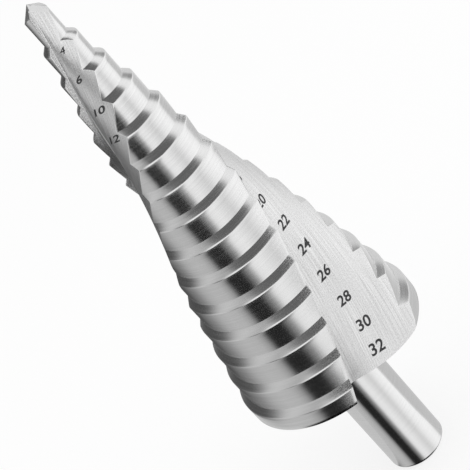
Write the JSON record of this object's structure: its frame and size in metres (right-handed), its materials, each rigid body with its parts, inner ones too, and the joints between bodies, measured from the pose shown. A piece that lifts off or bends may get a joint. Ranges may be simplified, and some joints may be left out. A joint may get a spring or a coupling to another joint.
{
  "type": "step drill",
  "caption": "Stepped cone drill with two right-hand spiral flutes, a ground point and a plain round shank, for cutting and widening holes in sheet metal.",
  "frame": {"origin": "centre of the shank's flat end, which the drill stands on", "axes": "+Z along the drill's axis from the shank end to the point; +X and +Y across it, with the first cutting edge leaving the rear face 99.5 degrees clockwise from +X, seen from the point"},
  "size_m": [0.032, 0.0318, 0.1003],
  "materials": {
    "ground_steel": "bright ground, fine turning and grinding marks"
  },
  "bodies": {
    "root": {"step_drill": "ground_steel"}
  },
  "joints": []
}
